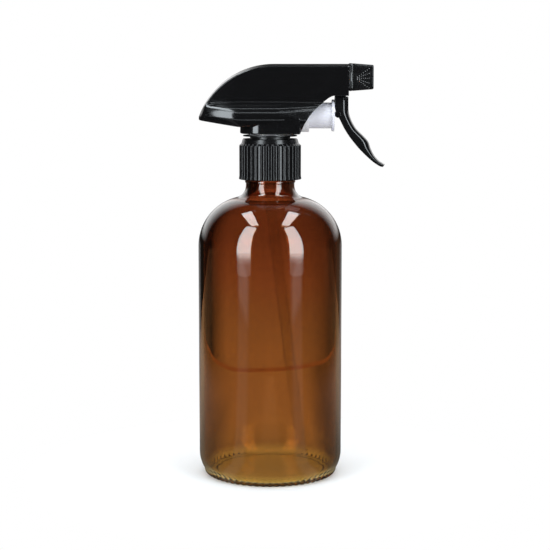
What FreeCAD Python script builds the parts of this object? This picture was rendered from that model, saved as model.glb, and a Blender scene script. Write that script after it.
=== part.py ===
import FreeCAD, Part

# Trigger spray bottle of 500 ml: an amber glass Boston round with a 28 mm screw neck, and a trigger pump.
# Millimetres. The origin is the centre of the bottle's base, +Z is up and +X is the way it sprays.
# Every sub-part is modelled in the frame of the whole bottle unless its function says otherwise.

import math
import os
import re

import Sketcher
from FreeCAD import Placement, Rotation, Vector

SIZES = {
    # glass bottle
    "body_radius": 37.5,
    "glass_wall": 2.45,
    "neck_radius": 12.65,
    "shoulder_radius": 26.0,
    "shoulder_height": 120.5,
    "neck_fillet": 7.8,
    "heel_radius": 18.3,
    "heel_height": 12.0,
    "heel_inner_radius": 14.0,
    "floor_height": 5.0,
    "floor_crown": 1.4,
    "bearing_inner": 28.6,
    "bearing_outer": 32.2,
    "push_up": 2.4,
    "glass_top": 172.7,
    "bead_radius": 13.1,
    "bead_foot": 153.5,
    "bead_height": 1.6,
    "finish_radius": 12.5,
    "knurl_count": 60,
    "knurl_rise": 0.5,
    "knurl_half": 0.65,
    # 28 mm finish: one thread on the glass and the matching one in the collar
    "thread_pitch": 4.233,
    "thread_foot": 162.2,
    "glass_crest": 13.7,
    "thread_turns": 1.5,
    "collar_crest": 12.9,
    # screw collar
    "collar_radius": 16.0,
    "collar_foot": 155.4,
    "collar_top": 176.3,
    "collar_bore": 13.95,
    "collar_shoulder": 173.0,
    "collar_top_radius": 14.2,
    "rib_root": 14.8,
    "rib_count": 36,
    "rib_gap_radius": 0.95,
    "collar_hole": 10.6,
    "collar_roof": 1.4,
    # gasket, tube retainer and dip tube
    "gasket_height": 1.2,
    "gasket_radius": 13.5,
    "gasket_bore": 9.0,
    "flange_radius": 12.6,
    "flange_height": 0.95,
    "retainer_neck": 10.4,
    "disc_radius": 14.05,
    "disc_foot": 177.65,
    "disc_height": 0.55,
    "socket_radius": 4.4,
    "socket_foot": 158.0,
    "tube_radius": 2.98,
    "tube_bore": 2.2,
    "tube_foot": 8.0,
    "tube_lean": 17.0,
    "tube_bend_height": 150.0,
    "tube_bend_radius": 60.0,
    "inlet_seat": 174.0,
    "inlet_orifice": 1.5,
    "inlet_ball_radius": 2.25,
    # pump
    "pump_foot": 178.3,
    "pump_base_radius": 11.0,
    "channel_radius": 4.6,
    "channel_bore": 3.35,
    "channel_top": 211.9,
    "outlet_seat": 199.0,
    "outlet_orifice": 1.5,
    "outlet_ball_radius": 2.0,
    "plug_foot": 210.3,
    "cylinder_axis": 188.3,
    "cylinder_radius": 8.5,
    "cylinder_bore": 6.8,
    "cylinder_back": 5.0,
    "cylinder_mouth": 20.1,
    "barrel_axis": 208.0,
    "barrel_radius": 3.5,
    "barrel_bore": 1.9,
    "barrel_end": 46.5,
    "pivot_reach": 36.0,
    "pivot_height": 207.0,
    "pivot_radius": 1.6,
    "running_gap": 0.05,
    # piston and spring
    "piston_radius": 6.65,
    "piston_wall": 1.2,
    "piston_back": 15.2,
    "piston_front": 31.86,
    "piston_flange": 8.2,
    "piston_face": 33.15,
    "cup_radius": 6.75,
    "cup_length": 3.3,
    "spring_radius": 4.05,
    "spring_wire": 0.9,
    "spring_coils": 9,
    # nozzle
    "nozzle_back": 40.7,
    "nozzle_face": 53.1,
    "nozzle_half": 7.15,
    "nozzle_half_front": 6.2,
    "nozzle_corner": 1.2,
    "nozzle_wall": 1.8,
    "nozzle_orifice": 0.45,
    "dish_radius": 2.6,
    "dish_depth": 0.6,
    # shroud
    "roof_height": 214.75,
    "tail_radius": 41.3,
    "tail_axis": 1.9,
    "shroud_wall": 1.4,
    "skirt_radius": 15.3,
    "skirt_foot": 179.1,
    "skirt_top": 187.0,
    "belly_height": 182.8,
    "nose_end": 40.4,
    "nose_half": 7.15,
    "nose_foot": 198.5,
    "nose_heel": 32.6,
    "arch_radius": 30.6,
    "arch_foot": 15.8,
    "arch_top_reach": 27.6,
    "arch_top": 195.2,
    # trigger
    "trigger_half": 5.2,
    "trigger_channel": 3.8,
    "trigger_front": 40.5,
    "trigger_wall": 1.9,
    "tip_reach": 59.3,
    "tip_height": 162.2,
    "boss_reach": 34.95,
    "boss_height": 188.85,
    "boss_radius": 1.6,
    "eye_radius": 3.2,
}

document = FreeCAD.newDocument("spray_bottle")
sheet = document.addObject("Spreadsheet::Sheet", "size")
for row, (alias, number) in enumerate(SIZES.items(), start=1):
    sheet.set("A%d" % row, alias)
    sheet.set("B%d" % row, str(number))
    sheet.setAlias("B%d" % row, alias)
document.recompute()


def formula(text):
    """Turn a formula in bare size names into one that refers to the sheet."""

    def refer(word):
        name = word.group()
        return "size." + name if name in SIZES else name

    return re.sub(r"[a-z_]{3,}", refer, str(text))


def value(text):
    """Work out a formula in bare size names."""
    return float(sheet.evalExpression(formula(text)))


def bind(thing, **properties):
    """Bind properties of an object to formulas; a double underscore in a name stands for a dot."""
    for name, text in properties.items():
        thing.setExpression(name.replace("__", "."), formula(text))


# ---- helpers for features -------------------------------------------------------------------------


def new_body(label):
    body = document.addObject("PartDesign::Body", label)
    body.Label = label
    return body


def origin_part(body, role):
    return next(item for item in body.Origin.OriginFeatures if item.Role == role)


def arc_between(start, end, radius):
    """The short arc from start to end. A positive radius puts its centre on the left of the way along."""
    chord = end - start
    rise = math.sqrt(radius * radius - chord.Length * chord.Length / 4)
    left = Vector(-chord.y, chord.x, 0) / chord.Length
    centre = (start + end) / 2 + left * math.copysign(rise, radius)
    first, last = (start, end) if radius > 0 else (end, start)
    first_angle = math.atan2(first.y - centre.y, first.x - centre.x)
    last_angle = math.atan2(last.y - centre.y, last.x - centre.x)
    if last_angle < first_angle:
        last_angle += 2 * math.pi
    return Part.ArcOfCircle(Part.Circle(centre, Vector(0, 0, 1), abs(radius)), first_angle, last_angle)


def new_sketch(body, name, plane, offset=0):
    sketch = body.newObject("Sketcher::SketchObject", name)
    sketch.AttachmentSupport = [(origin_part(body, plane), "")]
    sketch.MapMode = "FlatFace"
    bind(sketch, AttachmentOffset__Base__z=offset)
    return sketch


def pin_point(sketch, geometry, end, across, up):
    """Hold one end of a line or arc at formulas measured from the sketch's origin."""
    for kind, text in (("DistanceX", across), ("DistanceY", up)):
        if text == 0:
            axis = -2 if kind == "DistanceX" else -1
            sketch.addConstraint(Sketcher.Constraint("PointOnObject", geometry, end, axis))
            continue
        index = sketch.addConstraint(Sketcher.Constraint(kind, -1, 1, geometry, end, value(text)))
        sketch.setExpression("Constraints[%d]" % index, formula(text))


def draw_outline(sketch, corners):
    """Draw a closed outline. A corner is (across, up), or (across, up, radius) if an arc leaves it."""
    points = [Vector(value(corner[0]), value(corner[1]), 0) for corner in corners]
    ends = []
    for number, corner in enumerate(corners):
        start, end = points[number], points[(number + 1) % len(points)]
        if len(corner) == 2:
            geometry = sketch.addGeometry(Part.LineSegment(start, end), False)
            ends.append((geometry, 1, 2))
            continue
        radius = value(corner[2])
        geometry = sketch.addGeometry(arc_between(start, end, radius), False)
        ends.append((geometry, 1, 2) if radius > 0 else (geometry, 2, 1))
        index = sketch.addConstraint(Sketcher.Constraint("Radius", geometry, abs(radius)))
        sketch.setExpression("Constraints[%d]" % index, formula("abs(%s)" % corner[2]))
    for number, corner in enumerate(corners):
        geometry, start, end = ends[number]
        next_geometry, next_start, _ = ends[(number + 1) % len(ends)]
        sketch.addConstraint(Sketcher.Constraint("Coincident", geometry, end, next_geometry, next_start))
        pin_point(sketch, geometry, start, corner[0], corner[1])
    return sketch


def draw_circle(sketch, radius, across=0, up=0):
    circle = Part.Circle(Vector(value(across), value(up), 0), Vector(0, 0, 1), value(radius))
    geometry = sketch.addGeometry(circle, False)
    pin_point(sketch, geometry, 3, across, up)
    index = sketch.addConstraint(Sketcher.Constraint("Radius", geometry, value(radius)))
    sketch.setExpression("Constraints[%d]" % index, formula(radius))
    return sketch


def revolve(body, corners, axis="V_Axis"):
    """Turn an outline on the XZ plane about the body's Z axis (V_Axis) or X axis (H_Axis)."""
    sketch = draw_outline(new_sketch(body, "outline", "XZ_Plane"), corners)
    feature = body.newObject("PartDesign::Revolution", "turned")
    feature.Profile = sketch
    feature.ReferenceAxis = (sketch, [axis])
    feature.Angle = 360
    sketch.Visibility = False
    document.recompute()
    return feature


def pad(body, sketch, length, centred=False):
    feature = body.newObject("PartDesign::Pad", "pad")
    feature.Profile = sketch
    feature.Midplane = centred
    bind(feature, Length=length)
    document.recompute()
    return feature


def pocket(body, sketch, length, centred=False, backwards=False):
    """Cut a sketch out of the body and stop if the cut misses it."""
    before = body.Shape.Volume
    feature = body.newObject("PartDesign::Pocket", "pocket")
    feature.Profile = sketch
    feature.Midplane = centred
    feature.Reversed = backwards
    bind(feature, Length=length)
    document.recompute()
    if body.Shape.Volume > before - 1e-3:
        raise RuntimeError("a pocket in %s cuts nothing" % body.Label)
    return feature


AXIS_TURNS = {
    "X": Rotation(Vector(0, 1, 0), 90),
    "Y": Rotation(Vector(1, 0, 0), -90),
    "Z": Rotation(),
}


def rod(body, radius, length, start, along, cut=False):
    """Add or cut a cylinder that begins at start and runs in the positive direction of one axis."""
    kind = "PartDesign::SubtractiveCylinder" if cut else "PartDesign::AdditiveCylinder"
    feature = body.newObject(kind, "bore" if cut else "rod")
    feature.Placement = Placement(Vector(), AXIS_TURNS[along])
    bind(feature, Radius=radius, Height=length)
    bind(feature, Placement__Base__x=start[0], Placement__Base__y=start[1], Placement__Base__z=start[2])
    document.recompute()
    return feature


def block(body, low, high):
    """Add a box between two corners."""
    feature = body.newObject("PartDesign::AdditiveBox", "block")
    sides = ["(%s) - (%s)" % (high[axis], low[axis]) for axis in range(3)]
    bind(feature, Length=sides[0], Width=sides[1], Height=sides[2])
    bind(feature, Placement__Base__x=low[0], Placement__Base__y=low[1], Placement__Base__z=low[2])
    document.recompute()
    return feature


def repeat_round(body, feature, count, role="Z_Axis"):
    """Repeat a feature evenly about one of the body's axes."""
    pattern = body.newObject("PartDesign::PolarPattern", "round")
    pattern.Originals = [feature]
    pattern.Axis = (origin_part(body, role), [""])
    pattern.Angle = 360
    bind(pattern, Occurrences=count)
    body.Tip = pattern
    document.recompute()
    return pattern


def screw_thread(body, root, crest, foot, root_width, crest_width):
    """Wind a right-hand ridge from root to crest round the body's Z axis, starting at height foot."""
    sketch = new_sketch(body, "ridge", "XZ_Plane")
    draw_outline(sketch, [
        (root, "%s - %s / 2" % (foot, root_width)),
        (crest, "%s - %s / 2" % (foot, crest_width)),
        (crest, "%s + %s / 2" % (foot, crest_width)),
        (root, "%s + %s / 2" % (foot, root_width)),
    ])
    feature = body.newObject("PartDesign::AdditiveHelix", "thread")
    feature.Profile = sketch
    feature.ReferenceAxis = (sketch, ["V_Axis"])
    feature.Mode = "pitch-turns-angle"
    bind(feature, Pitch="thread_pitch", Turns="thread_turns")
    document.recompute()
    return feature


def loft(body, sketches, cut=False):
    feature = body.newObject("PartDesign::SubtractiveLoft" if cut else "PartDesign::AdditiveLoft", "loft")
    feature.Profile = sketches[0]
    feature.Sections = sketches[1:]
    document.recompute()
    return feature


def ball(label, radius, reach, height):
    sphere = document.addObject("Part::Sphere", label)
    sphere.Label = label
    bind(sphere, Radius=radius, Placement__Base__x=reach, Placement__Base__z=height)
    return sphere


# ---- bottle ---------------------------------------------------------------------------------------


def bottle():
    """Glass bottle: heel, straight wall, round shoulder, neck, bead, finish and a knurled base ring."""
    body = new_body("bottle")
    arc_axis = "(body_radius - shoulder_radius)"
    across = "(neck_radius + neck_fillet - %s)" % arc_axis
    centres = "(shoulder_radius + neck_fillet)"
    fillet_height = "(shoulder_height + sqrt(%s ^ 2 - %s ^ 2))" % (centres, across)

    def tangent(radius):
        """Where the shoulder arc, drawn with this radius, hands over to the neck fillet."""
        share = "%s / %s" % (radius, centres)
        return ("%s + %s * %s" % (arc_axis, across, share),
                "shoulder_height + (%s - shoulder_height) * %s" % (fillet_height, share))

    inner_radius = "(body_radius - glass_wall)"
    inner_shoulder = "(shoulder_radius - glass_wall)"
    heel_edge = "(body_radius - heel_radius + sqrt(heel_radius ^ 2 - (heel_height - 0.5) ^ 2))"
    revolve(body, [
        (0, "push_up"),
        ("bearing_inner - 2", "1.6"),
        ("bearing_inner", 0),
        ("bearing_outer", 0),
        (heel_edge, "0.5", "heel_radius"),
        ("body_radius", "heel_height"),
        ("body_radius", "shoulder_height", "shoulder_radius"),
        (*tangent("shoulder_radius"), "-neck_fillet"),
        ("neck_radius", fillet_height),
        ("neck_radius", "bead_foot"),
        ("bead_radius", "bead_foot + 0.3"),
        ("bead_radius", "bead_foot + bead_height - 0.3"),
        ("finish_radius", "bead_foot + bead_height"),
        ("finish_radius", "glass_top - 0.6", "0.6"),
        ("finish_radius - 0.6", "glass_top"),
        ("neck_radius - glass_wall + 0.6", "glass_top", "0.6"),
        ("neck_radius - glass_wall", "glass_top - 0.6"),
        ("neck_radius - glass_wall", fillet_height, "neck_fillet + glass_wall"),
        (*tangent(inner_shoulder), "-%s" % inner_shoulder),
        (inner_radius, "shoulder_height"),
        (inner_radius, "floor_height + heel_inner_radius", "-heel_inner_radius"),
        ("%s - heel_inner_radius" % inner_radius, "floor_height"),
        (0, "floor_height + floor_crown"),
    ])
    screw_thread(body, "finish_radius - 0.2", "glass_crest", "thread_foot", "2.4", "1.2")
    knurl = new_sketch(body, "knurl", "XY_Plane")
    draw_outline(knurl, [
        ("bearing_outer - 0.6", "-knurl_half"),
        ("%s + knurl_rise" % heel_edge, "-knurl_half", "knurl_half + 0.05"),
        ("%s + knurl_rise" % heel_edge, "knurl_half"),
        ("bearing_outer - 0.6", "knurl_half"),
    ])
    repeat_round(body, pad(body, knurl, "1.2"), "knurl_count")
    return body


# ---- closure --------------------------------------------------------------------------------------


def screw_collar():
    """Ribbed collar with an inner thread: it screws onto the neck and clamps the pump by its flange."""
    body = new_body("screw_collar")
    revolve(body, [
        ("collar_bore", "collar_foot"),
        ("collar_radius + 0.25", "collar_foot"),
        ("collar_radius", "collar_foot + 1.6"),
        ("collar_radius", "collar_shoulder"),
        ("rib_root", "collar_shoulder + 1.3"),
        ("collar_top_radius", "collar_top"),
        ("collar_hole", "collar_top"),
        ("collar_hole", "collar_top - collar_roof"),
        ("collar_bore", "collar_top - collar_roof"),
    ])
    gap = new_sketch(body, "gap", "XY_Plane", "collar_foot")
    draw_circle(gap, "rib_gap_radius", "rib_root + rib_gap_radius")
    cut = pocket(body, gap, "collar_shoulder + 1.3 - collar_foot", backwards=True)
    repeat_round(body, cut, "rib_count")
    between_turns = "(thread_foot - thread_pitch / 2)"
    screw_thread(body, "collar_bore + 0.2", "collar_crest", between_turns, "1.9", "0.9")
    return body


def neck_gasket():
    """Flat foam ring between the glass rim and the pump's flange."""
    body = new_body("neck_gasket")
    revolve(body, [
        ("gasket_bore", "glass_top"),
        ("gasket_radius", "glass_top"),
        ("gasket_radius", "glass_top + gasket_height"),
        ("gasket_bore", "glass_top + gasket_height"),
    ])
    return body


def tube_retainer():
    """Neck piece of the pump: disc, neck, clamped flange, tube socket and the inlet valve's seat."""
    body = new_body("tube_retainer")
    flange_foot = "glass_top + gasket_height"
    flange_top = "glass_top + gasket_height + flange_height"
    revolve(body, [
        ("tube_radius + 0.02", "socket_foot"),
        ("socket_radius", "socket_foot"),
        ("socket_radius", flange_foot),
        ("flange_radius", flange_foot),
        ("flange_radius", flange_top),
        ("retainer_neck", flange_top),
        ("retainer_neck", "disc_foot"),
        ("disc_radius", "disc_foot"),
        ("disc_radius", "disc_foot + disc_height"),
        ("channel_bore - 0.05", "disc_foot + disc_height"),
        ("channel_bore - 0.05", "disc_foot + 3.4"),
        ("inlet_ball_radius + 0.3", "disc_foot + 3.4"),
        ("inlet_ball_radius + 0.3", "inlet_seat + 1"),
        ("inlet_orifice", "inlet_seat"),
        ("inlet_orifice", "inlet_seat - 2"),
        ("tube_radius + 0.02", "inlet_seat - 2"),
    ])
    return body


def dip_tube():
    """Suction tube: straight in its socket, then bent towards the front so that it reaches the heel."""
    body = new_body("dip_tube")
    tube_top = "inlet_seat - 2.1"
    # The lean angle follows from how far the foot stands from the axis below the bend.
    lean = "atan(tube_lean / (tube_bend_height - tube_foot))"
    ring = new_sketch(body, "ring", "XY_Plane", tube_top)
    draw_circle(ring, "tube_radius")
    draw_circle(ring, "tube_bore")
    spine = new_sketch(body, "spine", "XZ_Plane")
    bend_foot_x = "(tube_bend_radius * (1 - cos(%s)))" % lean
    bend_foot_z = "(tube_bend_height - tube_bend_radius * sin(%s))" % lean
    corners = [Vector(0, value(tube_top), 0), Vector(0, value("tube_bend_height"), 0),
               Vector(value(bend_foot_x), value(bend_foot_z), 0),
               Vector(value("tube_lean"), value("tube_foot"), 0)]
    straight = spine.addGeometry(Part.LineSegment(corners[0], corners[1]), False)
    bend = spine.addGeometry(arc_between(corners[1], corners[2], value("tube_bend_radius")), False)
    leg = spine.addGeometry(Part.LineSegment(corners[2], corners[3]), False)
    spine.addConstraint(Sketcher.Constraint("Coincident", straight, 2, bend, 1))
    spine.addConstraint(Sketcher.Constraint("Coincident", bend, 2, leg, 1))
    pin_point(spine, straight, 1, 0, tube_top)
    pin_point(spine, straight, 2, 0, "tube_bend_height")
    pin_point(spine, leg, 1, bend_foot_x, bend_foot_z)
    pin_point(spine, leg, 2, "tube_lean", "tube_foot")
    document.recompute()
    feature = body.newObject("PartDesign::AdditivePipe", "tube")
    feature.Profile = ring
    feature.Spine = spine
    document.recompute()
    return body


def inlet_ball():
    """Ball of the suction valve, resting on the edge of its orifice."""
    rest = "inlet_seat + sqrt(inlet_ball_radius ^ 2 - inlet_orifice ^ 2) + running_gap"
    return ball("inlet_ball", "inlet_ball_radius", "0", rest)


# ---- pump -----------------------------------------------------------------------------------------


def pump_body():
    """Pump housing: base, upright channel, cylinder, spray barrel, web and the trigger's pivots."""
    body = new_body("pump_body")
    revolve(body, [
        (0, "pump_foot"),
        ("pump_base_radius", "pump_foot"),
        ("pump_base_radius", "pump_foot + 1.8"),
        ("channel_radius", "pump_foot + 1.8"),
        ("channel_radius", "channel_top"),
        (0, "channel_top"),
    ])
    rod(body, "cylinder_radius", "cylinder_mouth", ("0", "0", "cylinder_axis"), "X")
    rod(body, "barrel_radius", "barrel_end", ("0", "0", "barrel_axis"), "X")
    block(body, ("0", "-1", "cylinder_axis"), ("cylinder_mouth - 2", "1", "barrel_axis"))
    for side in ("-1", "1"):
        inner = "barrel_radius - 0.9"
        outer = "trigger_half - 0.1"
        start = "min(%s * (%s); %s * (%s))" % (side, inner, side, outer)
        stub = ("pivot_reach", start, "pivot_height")
        rod(body, "pivot_radius", "%s - (%s)" % (outer, inner), stub, "Y")
    rod(body, "cylinder_bore", "30", ("cylinder_back", "0", "cylinder_axis"), "X", cut=True)
    rod(body, "channel_bore", "outlet_seat - 1.5 - pump_foot", ("0", "0", "pump_foot"), "Z", cut=True)
    rod(body, "outlet_orifice", "10", ("0", "0", "outlet_seat - 5"), "Z", cut=True)
    rod(body, "outlet_ball_radius + 0.5", "20", ("0", "0", "outlet_seat"), "Z", cut=True)
    rod(body, "barrel_bore", "60", ("0", "0", "barrel_axis"), "X", cut=True)
    rod(body, "1.2", "cylinder_back + 1", ("0", "0", "cylinder_axis + 2"), "X", cut=True)
    return body


def outlet_ball():
    """Ball of the delivery valve in the top of the upright channel."""
    rest = "outlet_seat + sqrt(outlet_ball_radius ^ 2 - outlet_orifice ^ 2) + running_gap"
    return ball("outlet_ball", "outlet_ball_radius", "0", rest)


def channel_plug():
    """Plug that closes the top of the upright channel above the barrel."""
    body = new_body("channel_plug")
    revolve(body, [
        (0, "plug_foot"),
        ("outlet_ball_radius + 0.48", "plug_foot"),
        ("outlet_ball_radius + 0.48", "channel_top"),
        ("channel_radius - 0.6", "channel_top"),
        ("channel_radius - 0.6", "channel_top + 0.9"),
        (0, "channel_top + 0.9"),
    ])
    return body


def along_cylinder(body):
    """Stand a body that is drawn about its own X axis on the cylinder's axis."""
    bind(body, Placement__Base__z="cylinder_axis")


def piston():
    """Piston, open to the back, with the flange that the trigger pushes. Drawn about its own axis."""
    body = new_body("piston")
    spigot = "cup_radius - 1.2"
    hollow = "piston_radius - piston_wall - 0.2"
    revolve(body, [
        ("piston_back", hollow),
        ("piston_back", spigot),
        ("piston_back + cup_length", spigot),
        ("piston_back + cup_length", "piston_radius"),
        ("piston_front", "piston_radius"),
        ("piston_front", "piston_flange"),
        ("piston_face", "piston_flange"),
        ("piston_face", 0),
        ("piston_face - 2 * piston_wall", 0),
        ("piston_face - 2 * piston_wall", hollow),
    ], "H_Axis")
    along_cylinder(body)
    return body


def piston_cup():
    """Soft ring on the piston's back end that seals against the cylinder. Drawn about its own axis."""
    body = new_body("piston_cup")
    ring_bore = "cup_radius - 1.18"
    revolve(body, [
        ("piston_back", ring_bore),
        ("piston_back", "cup_radius"),
        ("piston_back + 1", "cup_radius"),
        ("piston_back + 1.3", "cup_radius - 0.3"),
        ("piston_back + cup_length - 1.3", "cup_radius - 0.3"),
        ("piston_back + cup_length - 1", "cup_radius"),
        ("piston_back + cup_length - 0.02", "cup_radius"),
        ("piston_back + cup_length - 0.02", ring_bore),
    ], "H_Axis")
    along_cylinder(body)
    return body


def return_spring():
    """Steel spring from the cylinder's back wall to the piston's face. Drawn about its own axis."""
    body = new_body("return_spring")
    gap = "0.1"
    front = "piston_face - 2 * piston_wall"
    span = "(%s - cylinder_back - spring_wire - 2 * %s)" % (front, gap)
    wire = new_sketch(body, "wire", "XZ_Plane")
    draw_circle(wire, "spring_wire / 2", "cylinder_back + spring_wire / 2 + %s" % gap, "spring_radius")
    feature = body.newObject("PartDesign::AdditiveHelix", "coil")
    feature.Profile = wire
    feature.ReferenceAxis = (wire, ["H_Axis"])
    feature.Mode = "height-turns-angle"
    bind(feature, Height=span, Turns="spring_coils")
    document.recompute()
    along_cylinder(body)
    return body


# ---- nozzle ---------------------------------------------------------------------------------------


def on_barrel(body):
    """Stand a body that is drawn about its own X axis on the barrel's axis."""
    bind(body, Placement__Base__z="barrel_axis")


def swirl_core():
    """Slotted plug in the end of the barrel that sets the liquid spinning. Drawn about its own axis."""
    body = new_body("swirl_core")
    stem = "barrel_bore - 0.03"
    revolve(body, [
        ("barrel_end - 7", 0),
        ("barrel_end - 7", stem),
        ("barrel_end", stem),
        ("barrel_end", "barrel_radius - 0.2"),
        ("barrel_end + 1.2", "barrel_radius - 0.2"),
        ("barrel_end + 1.2", "2"),
        ("nozzle_face - nozzle_wall - 0.2", "2"),
        ("nozzle_face - nozzle_wall - 0.2", 0),
    ], "H_Axis")
    slot = new_sketch(body, "slot", "YZ_Plane", "barrel_end - 8")
    draw_outline(slot, [("-0.4", "1.2"), ("0.4", "1.2"), ("0.4", "4"), ("-0.4", "4")])
    repeat_round(body, pocket(body, slot, "20", backwards=True), "3", "X_Axis")
    on_barrel(body)
    return body


def rounded_square(sketch, half, corner):
    """Square outline with round corners about the sketch's origin."""
    flat = "%s - %s" % (half, corner)
    corners = []
    for across, up in ((1, 1), (-1, 1), (-1, -1), (1, -1)):
        wide, flat_up = "%d * (%s)" % (across, half), "%d * (%s)" % (up, flat)
        flat_wide, tall = "%d * (%s)" % (across, flat), "%d * (%s)" % (up, half)
        if across * up > 0:
            corners += [(wide, flat_up, corner), (flat_wide, tall)]
        else:
            corners += [(flat_wide, tall, corner), (wide, flat_up)]
    return draw_outline(sketch, corners)


def nozzle_cap():
    """Square cap that turns on the barrel; its sleeve runs over the barrel. Drawn about its own axis."""
    body = new_body("nozzle_cap")
    back = new_sketch(body, "back", "YZ_Plane", "nozzle_back")
    rounded_square(back, "nozzle_half", "nozzle_corner")
    face = new_sketch(body, "face", "YZ_Plane", "nozzle_face")
    rounded_square(face, "nozzle_half_front", "nozzle_corner")
    loft(body, [back, face])
    inside = "nozzle_face - nozzle_wall"
    hollow_start = ("nozzle_back", "0", "0")
    rod(body, "nozzle_half_front - 0.9", "%s - nozzle_back" % inside, hollow_start, "X", cut=True)
    sleeve_bore = "barrel_radius + running_gap"
    sleeve_start = ("nozzle_back + 1.5", "0", "0")
    sleeve_length = "%s - nozzle_back - 1.5" % inside
    rod(body, "%s + 0.9" % sleeve_bore, "%s + 0.5" % sleeve_length, sleeve_start, "X")
    rod(body, sleeve_bore, sleeve_length, sleeve_start, "X", cut=True)
    rod(body, "nozzle_orifice", "nozzle_wall + 2", ("%s - 1" % inside, "0", "0"), "X", cut=True)
    rod(body, "dish_radius", "2", ("nozzle_face - dish_depth", "0", "0"), "X", cut=True)
    on_barrel(body)
    return body


# ---- trigger and shroud ---------------------------------------------------------------------------


def trigger():
    """Curved lever: two arms on the pivots, a hollow finger blade and the boss that pushes the piston."""
    body = new_body("trigger")
    side = draw_outline(new_sketch(body, "side", "XZ_Plane"), [
        ("pivot_reach + eye_radius", "200.6"),
        ("trigger_front", "197.9"),
        ("trigger_front", "191.5", "24"),
        ("46", "180"),
        ("49.4", "177", "-5"),
        ("52", "171.8", "30"),
        ("tip_reach - 0.9", "tip_height + 1.1"),
        ("tip_reach", "tip_height"),
        ("tip_reach - 3.4", "tip_height + 0.7", "-52"),
        ("36.3", "186"),
        ("boss_reach - boss_radius", "190.2"),
        ("boss_reach - boss_radius - 0.1", "196.9"),
        ("pivot_reach - eye_radius", "pivot_height", "-eye_radius * 1.0001"),
        ("pivot_reach + eye_radius", "pivot_height"),
    ])
    pad(body, side, "2 * trigger_half", centred=True)
    hollow = draw_outline(new_sketch(body, "hollow", "XZ_Plane"), [
        ("trigger_front - trigger_wall", "201.2"),
        ("trigger_front - trigger_wall", "191", "26"),
        ("44.2", "179"),
        ("48.6", "173.4"),
        ("52.8", "167.2"),
        ("50", "160"),
        ("28", "160"),
        ("28", "214"),
        ("43", "214"),
        ("43", "201.2"),
    ])
    pocket(body, hollow, "2 * trigger_channel", centred=True)
    width = "2 * (trigger_channel + 0.5)"
    rod(body, "boss_radius", width, ("boss_reach", "-(trigger_channel + 0.5)", "boss_height"), "Y")
    rib_end = ("trigger_front - 0.6", "0.8", "boss_height + 1.2")
    block(body, ("boss_reach", "-0.8", "boss_height - 1.2"), rib_end)
    hole_start = ("pivot_reach", "-trigger_half - 1", "pivot_height")
    rod(body, "pivot_radius + running_gap", "2 * trigger_half + 2", hole_start, "Y", cut=True)
    return body


def shroud_section(body, reach, foot, low_half, high_half, inset, drop):
    """One cross-section of the shroud, inset from the outside; drop lengthens it downwards."""
    back = "(min(%s; tail_axis) - tail_axis)" % reach
    ceiling = "roof_height - tail_radius + sqrt(tail_radius ^ 2 - %s ^ 2)" % back
    top = "(%s - %s)" % (ceiling, inset)
    low, high = "(%s - %s)" % (low_half, inset), "(%s - %s)" % (high_half, inset)

    def level(share):
        return "%s + %s * (%s - %s)" % (foot, share, top, foot)

    right = [
        (low, "%s - %s" % (foot, drop)) if drop else ("%s * 0.86" % low, foot),
        (low, level(0.10)),
        (low, level(0.20)),
        ("0.55 * %s + 0.45 * %s" % (low, high), level(0.38)),
        (high, level(0.55)),
        (high, level(0.94)),
        ("%s * 0.85" % high, top),
    ]
    left = [("-(%s)" % across, up) for across, up in reversed(right)]
    return draw_outline(new_sketch(body, "section", "YZ_Plane", reach), right + left)


def shroud():
    """Thin cover over the pump: round skirt, bulged sides, a back that falls in one arc to the tail."""
    body = new_body("shroud")
    stations = [
        # reach, foot, half width at the bulge, half width above it
        ("-36.3", "185.9", "7", "6"),
        ("-31", "184.9", "9.8", "7.6"),
        ("-22", "183.6", "13.5", "8.3"),
        ("-8", "belly_height", "skirt_radius", "8.6"),
        ("10", "belly_height", "skirt_radius", "8.5"),
        ("24", "belly_height", "11", "8"),
        ("nose_end", "nose_foot - 6", "nose_half + 0.05", "nose_half"),
    ]
    outside = [shroud_section(body, *station, "0", 0) for station in stations]
    loft(body, outside)
    stations[0] = ("-35", "185.7", "7.6", "6.4")
    inside = [shroud_section(body, *station, "shroud_wall", 4) for station in stations]
    nose_mouth = ("nose_end + 1", "nose_foot - 6", "nose_half + 0.05", "nose_half")
    inside.append(shroud_section(body, *nose_mouth, "shroud_wall", 4))
    loft(body, inside, cut=True)
    ring = draw_outline(new_sketch(body, "skirt", "XZ_Plane"), [
        ("skirt_radius - shroud_wall", "skirt_foot"),
        ("skirt_radius - 0.2", "skirt_foot"),
        ("skirt_radius", "belly_height"),
        ("skirt_radius - 0.4", "skirt_top"),
        ("skirt_radius - shroud_wall", "skirt_top"),
    ])
    turned = body.newObject("PartDesign::Revolution", "turned")
    turned.Profile = ring
    turned.ReferenceAxis = (ring, ["V_Axis"])
    turned.Angle = 360
    document.recompute()
    # The front edge sweeps up in one arc from the skirt to the nose and bares the cylinder.
    front = draw_outline(new_sketch(body, "front", "XZ_Plane"), [
        ("arch_foot", "skirt_foot - 2"),
        ("arch_foot", "skirt_foot + 0.8", "-arch_radius"),
        ("arch_top_reach", "arch_top"),
        ("nose_heel", "nose_foot"),
        ("nose_end + 5", "nose_foot"),
        ("nose_end + 5", "skirt_foot - 2"),
    ])
    pocket(body, front, "80", centred=True)
    rod(body, "cylinder_radius + 0.1", "40", ("0", "0", "cylinder_axis"), "X", cut=True)
    return body


NODES = [
    bottle, screw_collar, neck_gasket, tube_retainer, dip_tube, inlet_ball, pump_body, outlet_ball,
    channel_plug, piston, piston_cup, return_spring, swirl_core, nozzle_cap, trigger, shroud,
]


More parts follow.
